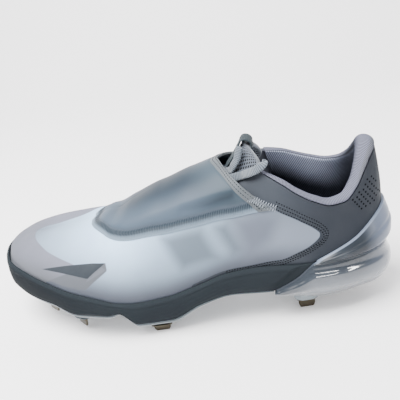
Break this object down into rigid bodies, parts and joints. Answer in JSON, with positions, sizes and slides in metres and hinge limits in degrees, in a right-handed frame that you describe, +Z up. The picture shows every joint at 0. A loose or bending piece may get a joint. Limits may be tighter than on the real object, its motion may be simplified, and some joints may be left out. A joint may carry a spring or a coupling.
{
  "type": "baseball cleat",
  "caption": "Empty left baseball cleat with a padded lace shroud, low collar, clear heel unit and metal spikes.",
  "frame": {"origin": "middle of the shoe's box, on the floor under the spike tips", "axes": "toe towards -X, outer (lateral) side towards -Y, +Z up"},
  "size_m": [0.3023, 0.1124, 0.133],
  "materials": {
    "pale_film": "smooth pale film over textile",
    "slate_foam": "matte moulded foam",
    "clear_plastic": "clear moulded plastic",
    "smoke_plastic": "smoky translucent plastic",
    "blue_grey_film": "soft padded film",
    "grey_knit": "fine ribbed knit",
    "grey_mesh": "open spacer mesh",
    "dark_webbing": "woven webbing",
    "grey_lace": "flat ribbed lace",
    "brown_steel": "dull steel"
  },
  "bodies": {
    "root": {"upper": "pale_film", "midsole": "slate_foam", "outsole_plate": "clear_plastic", "heel_bag": "clear_plastic", "heel_clip": "smoke_plastic", "insole": "grey_knit", "collar": "grey_knit", "lace_shroud": "blue_grey_film", "tongue": "grey_mesh", "pull_tab": "dark_webbing", "lace_loop": "grey_lace", "lace_run": "grey_lace", "boss_front_lateral": "clear_plastic", "boss_front_medial": "clear_plastic", "boss_heel_lateral": "clear_plastic", "boss_heel_medial": "clear_plastic", "spike_toe_lateral": "brown_steel", "spike_toe_medial": "brown_steel", "spike_front_lateral": "brown_steel", "spike_front_medial": "brown_steel", "spike_ball_lateral": "brown_steel", "spike_ball_medial": "brown_steel", "spike_heel_lateral": "brown_steel", "spike_heel_medial": "brown_steel"}
  },
  "joints": []
}
